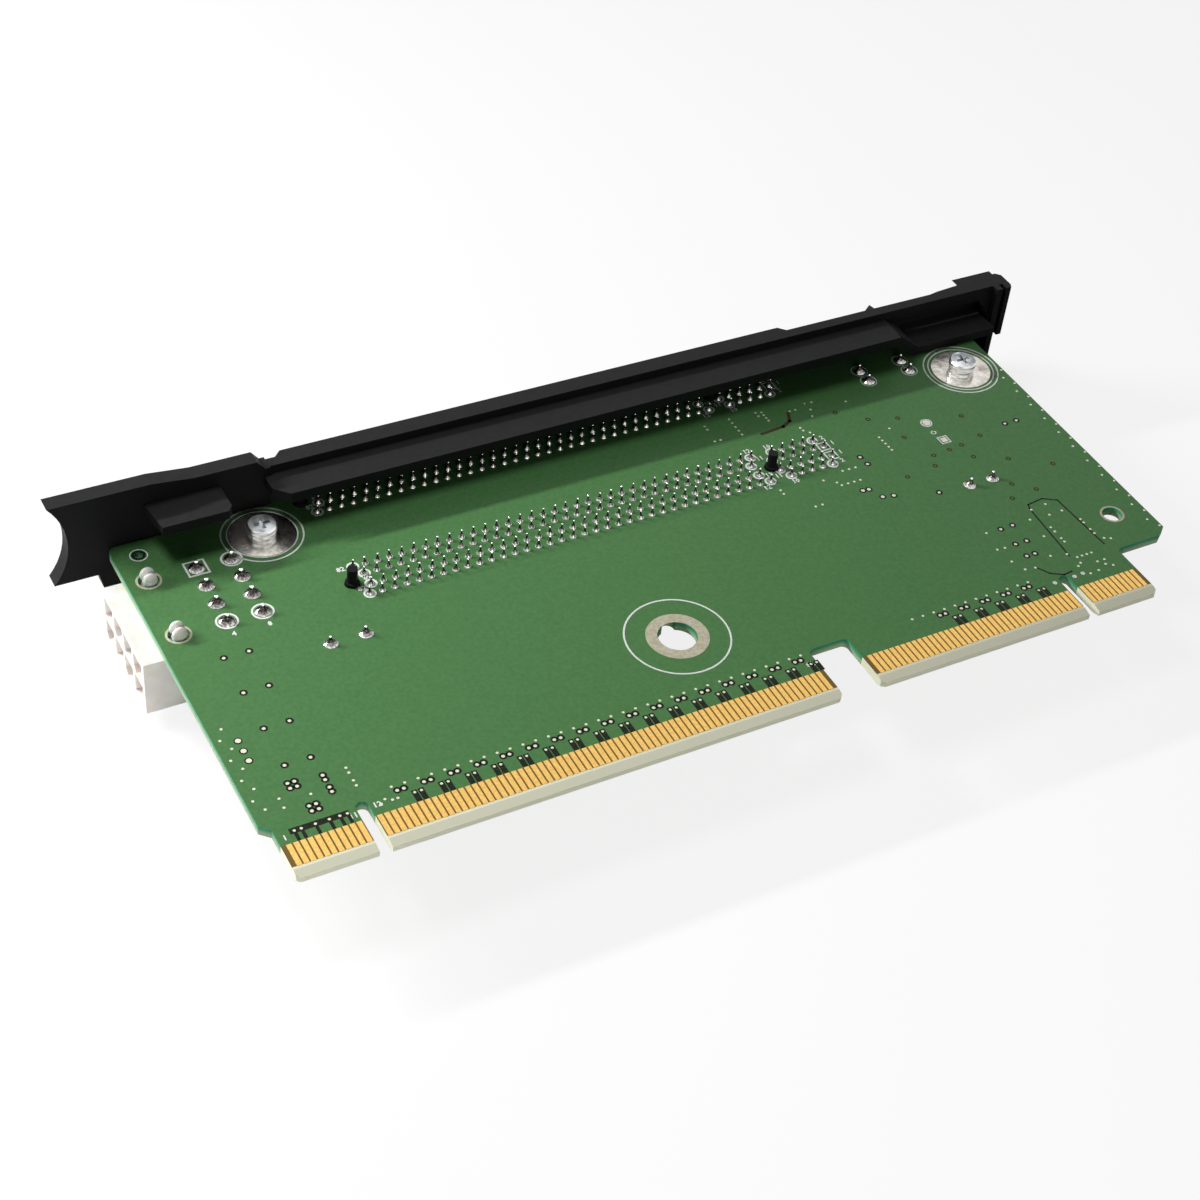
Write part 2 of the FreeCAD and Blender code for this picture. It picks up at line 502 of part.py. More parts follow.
def make_screw(name, x, y):
    body = new_body(f"{name}_screw")
    head = f"{SOLDER}+screw_high"
    tip = f"{head}-screw_high-screw_long"
    collar = f"{SOLDER}+collar_high"
    revolve(body, "turned", x, y, [
        ("0", head), ("0", tip), ("screw_thread/2-0.4", tip), ("screw_thread/2", f"{tip}+0.4"),
        ("screw_thread/2", SOLDER), ("screw_collar/2", SOLDER), ("screw_collar/2", collar),
        ("screw_head/2", collar), ("screw_head/2", f"{head}-0.25"), ("screw_head/2-0.25", head)])
    for way, wide, tall in (("x", "recess_long/2", "recess_wide/2"), ("y", "recess_wide/2", "recess_long/2")):
        extrude(body, f"recess_{way}", "Z", f"{head}-recess_deep", head,
                box_outline(f"{x}-{wide}", f"{y}-{tall}", f"{x}+{wide}", f"{y}+{tall}"), cut=True)


# ---- capacitors ----------------------------------------------------------------------------------

def make_capacitor(name, x, y, lead_gap, joints):
    """Radial capacitor under the board: can, rubber seal and two leads, with its joints on top."""
    radius, bottom = "can_wide/2", f"{UNDER}-can_high"
    can = new_body(f"{name}_capacitor_can")
    inside = f"{UNDER}-seal_inset-seal_thick"
    bead = f"{UNDER}-bead_height"
    revolve(can, "drawn_can", x, y, [
        ("0", bottom), (f"{radius}-can_bevel", bottom), (radius, f"{bottom}+can_bevel"),
        (radius, f"{bead}-bead_wide/2"), (f"{radius}-bead_deep", bead), (radius, f"{bead}+bead_wide/2"),
        (radius, UNDER), (f"{radius}-can_wall", UNDER), (f"{radius}-can_wall", inside), ("0", inside)])
    seal = new_body(f"{name}_capacitor_seal")
    leads = new_body(f"{name}_capacitor_leads")
    places = [(f"{x}{sign}{lead_gap}/2", y) for sign in "-+"]
    extrude(seal, "disc", "Z", inside, f"{UNDER}-seal_inset",
            circles=[(x, y, f"{radius}-can_wall-0.01")] + [place + ("lead_wide/2+0.01",) for place in places])
    extrude(leads, "wires", "Z", inside, UNDER, circles=[place + ("lead_wide/2",) for place in places])
    for index, place in enumerate(places):
        tapered_block(joints, f"{name}_can_joint_{index}", *place, SOLDER, f"{SOLDER}+joint_high",
                      "lead_joint", "lead_tip")


def make_chip_capacitor(name, x, joints):
    """Small two-lead block capacitor that stands on its leads, long way along Y."""
    body = new_body(f"{name}_block_capacitor")
    leads = new_body(f"{name}_block_capacitor_leads")
    wide, tall, bevel = "chip_wide/2", "chip_long/2", "chip_bevel"
    left, right, low, high = f"{x}-{wide}", f"{x}+{wide}", f"chip_y-{tall}", f"chip_y+{tall}"
    outline = [(f"{left}+{bevel}", low), (f"{right}-{bevel}", low), (right, f"{low}+{bevel}"),
               (right, f"{high}-{bevel}"), (f"{right}-{bevel}", high), (f"{left}+{bevel}", high),
               (left, f"{high}-{bevel}"), (left, f"{low}+{bevel}")]
    extrude(body, "block", "Z", f"{UNDER}-chip_stand-chip_high", f"{UNDER}-chip_stand", outline)
    places = [(x, f"chip_y{sign}chip_lead_gap/2") for sign in "-+"]
    extrude(leads, "wires", "Z", f"{UNDER}-chip_stand", UNDER,
            circles=[place + ("lead_wide/2",) for place in places])
    for index, place in enumerate(places):
        tapered_block(joints, f"{name}_block_joint_{index}", *place, SOLDER, f"{SOLDER}+joint_high",
                      "lead_joint", "lead_tip")


def make_capacitors():
    joints = new_body("capacitor_solder_joints")
    make_capacitor("left", "left_can_x", "left_can_y", "left_lead_gap", joints)
    make_capacitor("right", "right_can_x", "right_can_y", "right_lead_gap", joints)
    make_chip_capacitor("left", "left_chip_x", joints)
    make_chip_capacitor("right", "right_chip_x", joints)


# ---- bracket -------------------------------------------------------------------------------------

ABOVE = f"{SOLDER}+board_gap"
PLATE_LEFT = "end_right-end_plate"
POST_RIGHT = f"{PLATE_LEFT}-end_groove"
POST_LEFT = f"{POST_RIGHT}-end_post"


def make_rail(body):
    """Lip over the board, rib on the lip and wall behind the board, as one long section."""
    section = [("lip_front", "lip_under"), ("lip_front", "lip_top"), ("rib_front", "lip_top"),
               ("rib_front", "rib_top"), ("rib_rear", "rib_top"), ("rib_rear", "lip_top"),
               ("ledge_rear", "lip_top"), ("wall_rear", "lip_under"), ("wall_rear", "-wall_drop"),
               ("wall_front", "-wall_drop"), ("wall_front", "lip_under")]
    extrude(body, "rail", "X", "lip_left", "lip_right", section)
    corner = [("lip_left-1", "lip_front-1"), ("lip_left+lip_bevel+1", "lip_front-1"),
              ("lip_left-1", "lip_front+lip_bevel+1")]
    extrude(body, "lip_corner", "Z", "lip_under", "lip_top", corner, cut=True)
    step = "(rib_wide_rear-rib_rear)"
    wide_rib = [("rib_wide_from-" + step, "rib_rear"), ("rib_wide_to+" + step, "rib_rear"),
                ("rib_wide_to", "rib_wide_rear"), ("rib_wide_from", "rib_wide_rear")]
    extrude(body, "wide_rib", "Z", "lip_top", "rib_top", wide_rib)


def make_ear(body):
    """Plate at the left end, with its concave end, sloping top, foot and lug, joined to rail and wall."""
    inside = "far_step-board_gap"
    plate = [("ear_left", "ear_top"), ("ear_slope_from", "ear_top"), ("ear_slope_to", "ear_low_top"),
             ("ear_right", "ear_low_top"), ("ear_right+ear_end_slope", "rib_top"), ("lip_left+1", "rib_top"),
             ("lip_left+1", ABOVE), (inside, ABOVE), (inside, "foot_low"), ("foot_left+foot_slope", "foot_low"),
             ("foot_left", "ear_bottom"), ("ear_left", "ear_bottom", "ear_arc", 1)]
    extrude(body, "ear_plate", "Y", "ear_front", "ear_rear", plate)
    extrude(body, "ear_floor", "Z", "lip_under", "lip_top",
            box_outline("ear_slope_to", "ear_front", "lip_left+1", "ledge_rear"))
    lug = [("lug_left", "ear_front"), ("lug_left+lug_bevel", "lug_front"), ("lug_right-lug_bevel", "lug_front"),
           ("lug_right", "lug_front+lug_bevel*1.3"), ("lug_right", "ear_front")]
    extrude(body, "lug", "Z", "lug_top-lug_thick", "lug_top", lug)
    extrude(body, "left_return", "Z", "foot_low", UNDER,
            box_outline(f"{inside}-3", "ear_front", inside, "wall_rear"))
    extrude(body, "left_wall", "X", f"{inside}-3", "lip_left",
            box_outline("wall_front", "foot_low", "wall_rear", "lip_under"))
    extrude(body, "left_cap", "Z", "lip_under-1.5", "lip_under",
            box_outline(f"{inside}-3", "ear_rear-0.5", "lip_left+1", "wall_rear"))


def make_end(body):
    """Right end: rib, back wall, curved gusset, post and end plate, and the shelf behind the screw."""
    extrude(body, "rib_run", "Z", "lip_top", "rib_top",
            box_outline("lip_right", "rib_front", PLATE_LEFT, "rib_rear"))
    wide = [("end_widen-1.6", "rib_rear"), (PLATE_LEFT, "rib_rear"), (PLATE_LEFT, "end_rear"),
            ("end_widen", "rib_rear+0.3")]
    extrude(body, "end_widening", "Z", "lip_top", "rib_top", wide)
    extrude(body, "end_roof", "Z", "lip_under", "lip_top",
            box_outline("lip_right", "rib_front+0.7", PLATE_LEFT, "ledge_rear"))
    extrude(body, "end_wall", "X", "lip_right", PLATE_LEFT,
            box_outline("wall_front", "-wall_drop", "wall_rear", "lip_under"))
    gusset = [(f"{POST_LEFT}-end_gusset", "rib_top", "end_arc", -1), (POST_LEFT, "rib_top-end_gusset"),
              (POST_LEFT, "end_low"), (PLATE_LEFT, "end_low"), (PLATE_LEFT, "rib_top")]
    extrude(body, "gusset", "Y", "rib_front", "wall_front+0.5", gusset)
    extrude(body, "post", "Y", "end_front", "rib_front",
            box_outline(POST_LEFT, "end_low", POST_RIGHT, "rib_top"))
    extrude(body, "groove_floor", "Y", "end_front+groove_deep", "end_rear",
            box_outline(POST_RIGHT, "end_bottom", PLATE_LEFT, "rib_top"))
    plate = [(PLATE_LEFT, "end_front"), ("end_right-end_bevel/2", "end_front"),
             ("end_right", "end_front+end_bevel"), ("end_right", "end_rear-end_bevel"),
             ("end_right-end_bevel", "end_rear"), (PLATE_LEFT, "end_rear")]
    extrude(body, "end_plate_pad", "Z", "end_bottom", "rib_top", plate)
    extrude(body, "shelf", "Z", ABOVE, "shelf_top",
            box_outline("shelf_left", "shelf_front", f"{POST_LEFT}-1.5", "wall_front+1"))
    slope = [("lip_right-1.2", "lip_under"), ("lip_right", "lip_top"), ("shelf_left", "shelf_top"),
             ("shelf_left", ABOVE), ("shelf_left-1", ABOVE)]
    extrude(body, "slope", "Y", "shelf_front", "wall_front+1", slope)


def make_bosses(body):
    """Bosses under the board that take the screws, with the bridges that carry them to the wall."""
    for name, x, y in SCREWS:
        extrude(body, f"{name}_boss", "Z", f"{UNDER}-boss_low", UNDER, circles=[(x, y, "boss_wide/2")])
        extrude(body, f"{name}_bridge", "Z", f"{UNDER}-boss_low", f"{UNDER}-boss_low+bridge_thick",
                box_outline(f"{x}-bridge_wide/2", y, f"{x}+bridge_wide/2", "wall_front+1"))
    bores = [(x, y, "screw_thread/2+thread_clear") for name, x, y in SCREWS]
    extrude(body, "screw_bores", "Z", f"{UNDER}-boss_low", UNDER, circles=bores, cut=True)


def make_bracket():
    body = new_body("bracket")
    make_rail(body)
    make_ear(body)
    make_end(body)
    make_bosses(body)


def write_parts():
    doc.recompute()
    for thing in doc.Objects:
        if {"Invalid", "Error"} & set(thing.State):
            raise ValueError(f"{thing.Label}: {thing.State}")
    for piece in pieces:
        if piece.Shape.isNull() or not piece.Shape.isValid() or not piece.Shape.Solids:
            raise ValueError(f"{piece.Label}: no valid solid")
    os.makedirs("parts", exist_ok=True)
    for piece in pieces:
        piece.Shape.exportStep(f"parts/{piece.Label}.step")
        print(piece.Label, len(piece.Shape.Solids), round(piece.Shape.Volume, 2))


make_board()
make_all_fingers()
make_slots()
make_header()
make_header_pins()
for screw in SCREWS:
    make_screw(*screw)
make_capacitors()
make_bracket()
write_parts()
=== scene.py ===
import json
import math
import random

import bmesh
import bpy
from mathutils import Matrix, Vector


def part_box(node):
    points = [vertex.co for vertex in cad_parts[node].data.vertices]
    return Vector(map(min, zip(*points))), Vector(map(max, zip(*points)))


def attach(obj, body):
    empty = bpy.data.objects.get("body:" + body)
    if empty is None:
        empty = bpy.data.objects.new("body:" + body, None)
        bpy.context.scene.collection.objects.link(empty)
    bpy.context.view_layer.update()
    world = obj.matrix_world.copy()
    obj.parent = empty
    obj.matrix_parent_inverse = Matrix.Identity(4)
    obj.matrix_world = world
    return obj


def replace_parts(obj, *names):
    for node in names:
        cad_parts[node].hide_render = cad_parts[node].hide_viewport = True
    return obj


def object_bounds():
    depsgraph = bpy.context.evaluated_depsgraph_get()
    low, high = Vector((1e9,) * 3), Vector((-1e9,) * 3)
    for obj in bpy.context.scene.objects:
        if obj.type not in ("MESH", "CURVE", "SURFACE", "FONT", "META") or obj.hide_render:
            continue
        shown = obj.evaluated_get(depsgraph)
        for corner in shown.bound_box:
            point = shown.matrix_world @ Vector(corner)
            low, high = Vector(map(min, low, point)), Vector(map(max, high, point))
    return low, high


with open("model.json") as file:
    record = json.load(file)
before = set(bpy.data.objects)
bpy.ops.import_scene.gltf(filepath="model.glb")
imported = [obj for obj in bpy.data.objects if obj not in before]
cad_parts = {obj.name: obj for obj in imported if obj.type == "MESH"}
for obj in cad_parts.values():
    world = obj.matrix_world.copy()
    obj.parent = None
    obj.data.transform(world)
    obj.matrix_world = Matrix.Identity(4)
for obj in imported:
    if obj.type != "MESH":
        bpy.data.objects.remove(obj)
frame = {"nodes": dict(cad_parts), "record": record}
cad_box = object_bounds()

MM = 0.001
random.seed(7)


# ---- places and sizes, in millimetres ----------------------------------------------------

def node_box(node):
    """Lowest and highest corner of a CAD node, in millimetres."""
    return [Vector(corner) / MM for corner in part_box(node)]


BOARD_LOW, BOARD_HIGH = node_box("circuit_board")
FACE = BOARD_HIGH.z
HALF_BOARD = 0.785
TIP_BEVEL = 1.85
MASK_STARTS = 5.85
SLOT_KEY = 89.45
SLOT_ROWS = (50.29, 70.61)
SLOT_PINS, FIRST_AFTER_KEY, KEY_TO_PIN = 82, 12, 1.5
ROW_INNER, ROW_OUTER = 1.25, 3.25
LEFT_SCREW = (8.27, 65.6)
RIGHT_SCREW = (135.3, 61.0)
KEYHOLE = (56.03, 20.78)
RIGHT_HOLE = (136.4, 18.3)
TOOL_HOLE = (-10.24, 68.03)
ROUND_PAD = (120.9, 50.4)
SQUARE_PAD = (121.2, 45.4)
HEADER_COLUMNS = (-3.44, 2.06)
HEADER_ROWS = [49.5 + 4.2 * row for row in range(4)]
FINGER_GROUP = 4
LOCK_PEGS = ((-10.75, 49.5), (-10.75, 62.1))
CAN_LEADS = ((8.49, 39.3), (13.99, 39.3), (118.46, 33.7), (123.0, 33.7))
BLOCK_LEADS = ((118.0, 64.2), (118.0, 67.2), (126.5, 64.2), (126.5, 67.2))
# thickness of a printed or plated layer, and of the tin that stands over it
INK = 0.02
TIN = INK * 1.4
WET_TIN = INK * 1.6


# ---- materials ---------------------------------------------------------------------------

def linear(code):
    """sRGB hex to the linear colour that the shaders take."""
    channels = [int(code[i:i + 2], 16) / 255 for i in (1, 3, 5)]
    return tuple(c / 12.92 if c <= 0.04045 else ((c + 0.055) / 1.055) ** 2.4
                 for c in channels) + (1.0,)


def node(tree, kind, settings=(), **links):
    """Add a node: settings by attribute, input name or number, links by input name or i0, i1 ...

    A colour mix takes its two colours at inputs 6 and 7 and gives its result at output 2.
    """
    made = tree.nodes.new(kind)
    for name, setting in dict(settings).items():
        if isinstance(name, str) and hasattr(made, name):
            setattr(made, name, setting)
        else:
            made.inputs[name].default_value = setting
    for name, source in links.items():
        tree.links.new(source, made.inputs[int(name[1:]) if name[1:].isdigit() else name])
    return made


def new_material(name, colour, roughness, metallic=0.0, **sockets):
    """A Principled material, with further sockets by name."""
    material = bpy.data.materials.new(name)
    material.use_nodes = True
    shader = material.node_tree.nodes["Principled BSDF"]
    shader.inputs["Base Color"].default_value = linear(colour)
    shader.inputs["Metallic"].default_value = metallic
    shader.inputs["Roughness"].default_value = roughness
    for socket, setting in sockets.items():
        shader.inputs[socket.replace("_", " ")].default_value = setting
    return material, material.node_tree, shader


def patchy_noise(tree, coords, grain_mm, detail):
    """Noise whose patches have a given size."""
    return node(tree, "ShaderNodeTexNoise", {"Scale": 1 / (grain_mm * MM), "Detail": detail},
                Vector=coords)


def mottle(tree, shader, coords, pale, dark, grain_mm, low=0.35, high=0.65, detail=3.0):
    """Two close tones in soft patches of a given size."""
    noise = patchy_noise(tree, coords, grain_mm, detail)
    ramp = node(tree, "ShaderNodeValToRGB", Fac=noise.outputs["Fac"])
    ramp.color_ramp.elements[0].position = low
    ramp.color_ramp.elements[1].position = high
    ramp.color_ramp.elements[0].color = linear(dark)
    ramp.color_ramp.elements[1].color = linear(pale)
    tree.links.new(ramp.outputs["Color"], shader.inputs["Base Color"])
    return ramp


def bump(tree, shader, coords, grain_mm, depth_mm, strength):
    """Fine relief of a given grain and depth."""
    noise = patchy_noise(tree, coords, grain_mm, 2.0)
    relief = node(tree, "ShaderNodeBump", {"Strength": strength, "Distance": depth_mm * MM},
                  Height=noise.outputs["Fac"])
    tree.links.new(relief.outputs["Normal"], shader.inputs["Normal"])


def object_coords(tree):
    """Places on the object, in metres."""
    return node(tree, "ShaderNodeTexCoord").outputs["Object"]


def surface_facing(tree):
    """Which way the surface itself faces, in X, Y and Z."""
    geometry = node(tree, "ShaderNodeNewGeometry")
    return node(tree, "ShaderNodeSeparateXYZ", Vector=geometry.outputs["True Normal"])


def board_laminate():
    """Green solder mask over glass laminate: a satin skin, bare resin at the tongues' tips."""
    material, tree, shader = new_material("solder_mask_on_laminate", "#4E7A49", 0.42,
                                          Specular_IOR_Level=0.2)
    coords = object_coords(tree)
    skin = mottle(tree, shader, coords, "#558650", "#4B7B46", 0.6, low=0.3, high=0.7, detail=6.0)
    place = node(tree, "ShaderNodeSeparateXYZ", Vector=coords)
    facing = surface_facing(tree)
    flat = node(tree, "ShaderNodeMath", {"operation": "ABSOLUTE"}, i0=facing.outputs["Z"])
    on_face = node(tree, "ShaderNodeMath", {"operation": "GREATER_THAN", 1: 0.98},
                   i0=flat.outputs[0])
    masked = node(tree, "ShaderNodeMath", {"operation": "GREATER_THAN", 1: MASK_STARTS * MM},
                  i0=place.outputs["Y"])
    skinned = node(tree, "ShaderNodeMath", {"operation": "MULTIPLY"}, i0=on_face.outputs[0],
                   i1=masked.outputs[0])
    # cut edge: teal-green over its upper part, paler green below
    level = node(tree, "ShaderNodeMapRange",
                 {"From Min": -HALF_BOARD * MM, "From Max": HALF_BOARD * MM},
                 Value=place.outputs["Z"])
    edge = node(tree, "ShaderNodeValToRGB", Fac=level.outputs[0])
    edge.color_ramp.elements[0].position = 0.3
    edge.color_ramp.elements[0].color = linear("#A9C09A")
    edge.color_ramp.elements[1].position = 0.75
    edge.color_ramp.elements[1].color = linear("#3F9E76")
    # between the fingers the resin is brown, and on the bevelled tips it is pale
    tip = node(tree, "ShaderNodeMath", {"operation": "LESS_THAN", 1: TIP_BEVEL * MM},
               i0=place.outputs["Y"])
    mix = {"data_type": "RGBA"}
    bare = node(tree, "ShaderNodeMix", {**mix, 6: linear("#7A6330"), 7: linear("#FAFAE2")},
                i0=tip.outputs[0])
    beyond = node(tree, "ShaderNodeMix", {**mix, 6: linear("#F6F6DC")}, i0=masked.outputs[0],
                  i7=edge.outputs["Color"])
    sides = node(tree, "ShaderNodeMix", mix, i0=on_face.outputs[0], i6=beyond.outputs[2],
                 i7=bare.outputs[2])
    whole = node(tree, "ShaderNodeMix", mix, i0=skinned.outputs[0], i6=sides.outputs[2],
                 i7=skin.outputs["Color"])
    tree.links.new(whole.outputs[2], shader.inputs["Base Color"])
    bump(tree, shader, coords, grain_mm=0.35, depth_mm=0.02, strength=0.25)
    return material


def gold_plating():
    """Hard gold over nickel: warm, bright and smooth, in two close tones with a fine grain."""
    material, tree, shader = new_material("gold_plating", "#E9B44C", 0.34, metallic=1.0)
    coords = object_coords(tree)
    mottle(tree, shader, coords, "#F3CD7E", "#E3B35E", 0.4, high=0.7)
    bump(tree, shader, coords, grain_mm=0.12, depth_mm=0.01, strength=0.2)
    return material


def solder_alloy():
    """Wave-soldered tin alloy: painted highlights at each joint's foot and tip, painted shade in
    between.
    """
    material, tree, shader = new_material("solder_alloy", "#D6D7D8", 0.24, metallic=1.0)
    coords = object_coords(tree)
    place = node(tree, "ShaderNodeSeparateXYZ", Vector=coords)
    joint_high = 1.6
    level = node(tree, "ShaderNodeMapRange",
                 {"From Min": FACE * MM, "From Max": (FACE + joint_high) * MM},
                 Value=place.outputs["Z"])
    # painted light by height: the pale foot and white tip are painted highlights, the dark middle
    # is painted shade
    painted_glint_ramp = node(tree, "ShaderNodeValToRGB", Fac=level.outputs[0])
    foot, *middle, tip = ((0.0, "#D9D8D6"), (0.16, "#A9A6A2"), (0.36, "#46423F"),
                          (0.78, "#4E4A47"), (0.88, "#FFFFFF"))
    for position, code in middle:
        painted_glint_ramp.color_ramp.elements.new(position).color = linear(code)
    painted_glint_ramp.color_ramp.elements[0].color = linear(foot[1])
    painted_glint_ramp.color_ramp.elements[-1].position = tip[0]
    painted_glint_ramp.color_ramp.elements[-1].color = linear(tip[1])
    noise = patchy_noise(tree, coords, 0.3, 2.0)
    patches = node(tree, "ShaderNodeMapRange", {"From Min": 0.44, "From Max": 0.62},
                   Value=noise.outputs["Fac"])
    tone = node(tree, "ShaderNodeMix", {"data_type": "RGBA", "blend_type": "SOFT_LIGHT", 0: 0.75},
                i6=painted_glint_ramp.outputs["Color"], i7=patches.outputs[0])
    tree.links.new(tone.outputs[2], shader.inputs["Base Color"])
    bump(tree, shader, coords, grain_mm=0.3, depth_mm=0.06, strength=0.5)
    return material


def tinned_pad():
    """Levelled tin on the screw pads: mirror-like, with soft ripples."""
    material, tree, shader = new_material("tinned_pad", "#C9CBCC", 0.22, metallic=1.0)
    coords = object_coords(tree)
    mottle(tree, shader, coords, "#EBE6DD", "#A8A299", 1.6, low=0.3, high=0.6, detail=4.0)
    bump(tree, shader, coords, grain_mm=1.1, depth_mm=0.08, strength=0.4)
    return material


def zinc_steel():
    """Bright zinc on steel: white metal with darker turning marks round it."""
    material, tree, shader = new_material("zinc_plated_steel", "#DDE1E4", 0.28, metallic=1.0)
    coords = object_coords(tree)
    # patches stretched flat, as the marks of turning are
    along = node(tree, "ShaderNodeMapping", {"Scale": (0.25, 0.25, 1.6)}, Vector=coords)
    mottle(tree, shader, along.outputs[0], "#F4F6F7", "#8D9297", 0.5, high=0.6, detail=1.0)
    bump(tree, shader, coords, grain_mm=0.3, depth_mm=0.02, strength=0.3)
    return material


def moulded_black(name, painted_top_light, own_black):
    """Glass-filled moulding: near-black and matt, with painted light making the faces that turn up
    greyer, in soft patches.
    """
    material, tree, shader = new_material(name, own_black, 0.5, Specular_IOR_Level=0.06)
    coords = object_coords(tree)
    cloud = patchy_noise(tree, coords, 1.2, 5.0)
    facing = surface_facing(tree)
    # painted light: the more a face turns up, the more it takes the paler grey, a little unevenly
    upward = node(tree, "ShaderNodeMapRange", {"From Min": 0.2, "From Max": 0.9},
                  Value=facing.outputs["Z"])
    patches = node(tree, "ShaderNodeMapRange", {"From Min": 0.3, "From Max": 0.7, "To Min": 0.75},
                   Value=cloud.outputs["Fac"])
    share = node(tree, "ShaderNodeMath", {"operation": "MULTIPLY"}, i0=upward.outputs[0],
                 i1=patches.outputs[0])
    tone = node(tree, "ShaderNodeMix",
                {"data_type": "RGBA", 6: linear(own_black), 7: linear(painted_top_light)},
                i0=share.outputs[0])
    tree.links.new(tone.outputs[2], shader.inputs["Base Color"])
    bump(tree, shader, coords, grain_mm=0.16, depth_mm=0.03, strength=0.45)
    return material


def ivory_nylon():
    """Natural nylon: off-white, slightly waxy, letting a little light in."""
    material, tree, shader = new_material("ivory_nylon", "#FAF8F3", 0.45,
                                          Subsurface_Weight=0.35, Subsurface_Scale=1.0 * MM)
    coords = object_coords(tree)
    mottle(tree, shader, coords, "#FBFAF6", "#F3F0EA", 2.5)
    bump(tree, shader, coords, grain_mm=0.3, depth_mm=0.02, strength=0.3)
    return material


def silk_ink():
    """White screen-printed ink: matt, with faint thin patches."""
    material, tree, shader = new_material("white_screen_ink", "#E4EBDD", 0.6)
    mottle(tree, shader, object_coords(tree), "#FFFFFF", "#EEF4EA", 0.25)
    return material


def bare_resin():
    """Laminate without mask or copper: straw-coloured resin in close, cloudy tones."""
    material, tree, shader = new_material("bare_laminate", "#CBC5AC", 0.5)
    mottle(tree, shader, object_coords(tree), "#D5D0B8", "#BDB69B", 0.5)
    return material


def dark_window():
    """Mask over a gap in the copper planes: the same skin, nearly black."""
    material, tree, shader = new_material("mask_over_gap", "#1D241C", 0.4,
                                          Specular_IOR_Level=0.1)
    mottle(tree, shader, object_coords(tree), "#22301F", "#1E1713", 0.4)
    return material


def masked_pad():
    """Mask over a via's pad: a brownish tint in the green."""
    return new_material("mask_over_pad", "#453D28", 0.45, Specular_IOR_Level=0.1)[0]


def tinned_via():
    """Tin in a via's mouth, tinted by flux residue: small cream-coloured spots."""
    return new_material("tinned_via", "#F1EEDA", 0.35, metallic=0.3)[0]


def drawn_aluminium():
    """Bare drawn aluminium of the capacitors' cans: pale satin metal with cloudy tones."""
    material, tree, shader = new_material("drawn_aluminium", "#C8CBCE", 0.32, metallic=1.0)
    coords = object_coords(tree)
    mottle(tree, shader, coords, "#D2D5D8", "#B5B8BC", 1.5)
    bump(tree, shader, coords, grain_mm=0.3, depth_mm=0.01, strength=0.3)
    return material


def butyl_rubber():
    """Moulded rubber of the capacitors' seals: dull and dark, with a fine grain."""
    material, tree, shader = new_material("butyl_rubber", "#222224", 0.75)
    bump(tree, shader, object_coords(tree), grain_mm=0.3, depth_mm=0.03, strength=0.4)
    return material


def dipped_epoxy():
    """Epoxy coat of the two small block parts: glossy amber in soft patches."""
    material, tree, shader = new_material("dipped_epoxy", "#B27A2A", 0.3)
    mottle(tree, shader, object_coords(tree), "#BC8432", "#A06C22", 1.0)
    return material


MATERIALS = {
    "solder_mask": board_laminate(),
    "gold": gold_plating(),
    # each black moulding: the paler grey of painted light on faces turned up, then its own black
    "black_housing": moulded_black("black_housing_nylon", "#252527", "#131314"),
    "solder": solder_alloy(),
    "ivory_plastic": ivory_nylon(),
    "tinned_pin": solder_alloy(),
    "screw_steel": zinc_steel(),
    "can_aluminium": drawn_aluminium(),
    "seal_rubber": butyl_rubber(),
    "block_epoxy": dipped_epoxy(),
    "bracket_plastic": moulded_black("black_bracket_moulding", "#2D2D2E", "#171718"),
}
INK_WHITE = silk_ink()
RESIN = bare_resin()
WINDOW = dark_window()
PAD_TIN = tinned_pad()
VIA_TIN = tinned_via()
MASKED_PAD = masked_pad()

for part in frame["record"]["subparts"]:
    shown = frame["nodes"][part["node"]]
    for material_slot in shown.material_slots:
        material_slot.material = MATERIALS[part["material_slot"]]


# ---- mesh helpers ------------------------------------------------------------------------

def new_piece(name, bm, material):
    """Finish a bmesh that was modelled in millimetres as a piece of the card."""
    bmesh.ops.scale(bm, vec=(MM, MM, MM), verts=bm.verts)
    mesh = bpy.data.meshes.new(name)
    bm.to_mesh(mesh)
    bm.free()
    mesh.materials.append(material)
    piece = bpy.data.objects.new(name, mesh)
    bpy.context.scene.collection.objects.link(piece)
    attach(piece, "root")
    return piece


def turned(profile, steps, closed=False, smooth=True):
    """Template mesh spun about the Z axis from (radius, height) points."""
    bm = bmesh.new()
    verts = [bm.verts.new((radius, 0, height)) for radius, height in profile]
    ends = list(zip(verts, verts[1:])) + ([(verts[-1], verts[0])] if closed else [])
    edges = [bm.edges.new(pair) for pair in ends]
    bmesh.ops.spin(bm, geom=verts + edges, cent=(0, 0, 0), axis=(0, 0, 1), angle=math.tau,
                   steps=steps, use_merge=True)
    bmesh.ops.remove_doubles(bm, verts=bm.verts, dist=1e-5)
    bmesh.ops.recalc_face_normals(bm, faces=bm.faces)
    for face in bm.faces:
        face.smooth = smooth
    mesh = bpy.data.meshes.new("template")
    bm.to_mesh(mesh)
    bm.free()
    return mesh


def stamp(bm, template, x, y, z=None, turn=0.0, size=1.0, lean=(0.0, 0.0)):
    """Add a copy of a template, standing on the solder face unless a height is given."""
    first = len(bm.verts)
    bm.from_mesh(template)
    bm.verts.ensure_lookup_table()
    fresh = bm.verts[first:]
    place = (Matrix.Translation((x, y, FACE if z is None else z)) @ Matrix.Rotation(turn, 4, "Z")
             @ Matrix.Rotation(lean[0], 4, "X") @ Matrix.Rotation(lean[1], 4, "Y")
             @ Matrix.Scale(size, 4))
    bmesh.ops.transform(bm, matrix=place, verts=fresh)


def ring(inner, outer, steps):
    """Template of a thin flat ring."""
    return turned([(inner, 0), (outer, 0), (outer, INK), (inner, INK)], steps, closed=True,
                  smooth=False)


def disc(radius, steps, high=INK):
    """Template of a thin disc."""
    return turned([(0, 0), (radius, 0), (radius, high), (0, high)], steps, smooth=False)


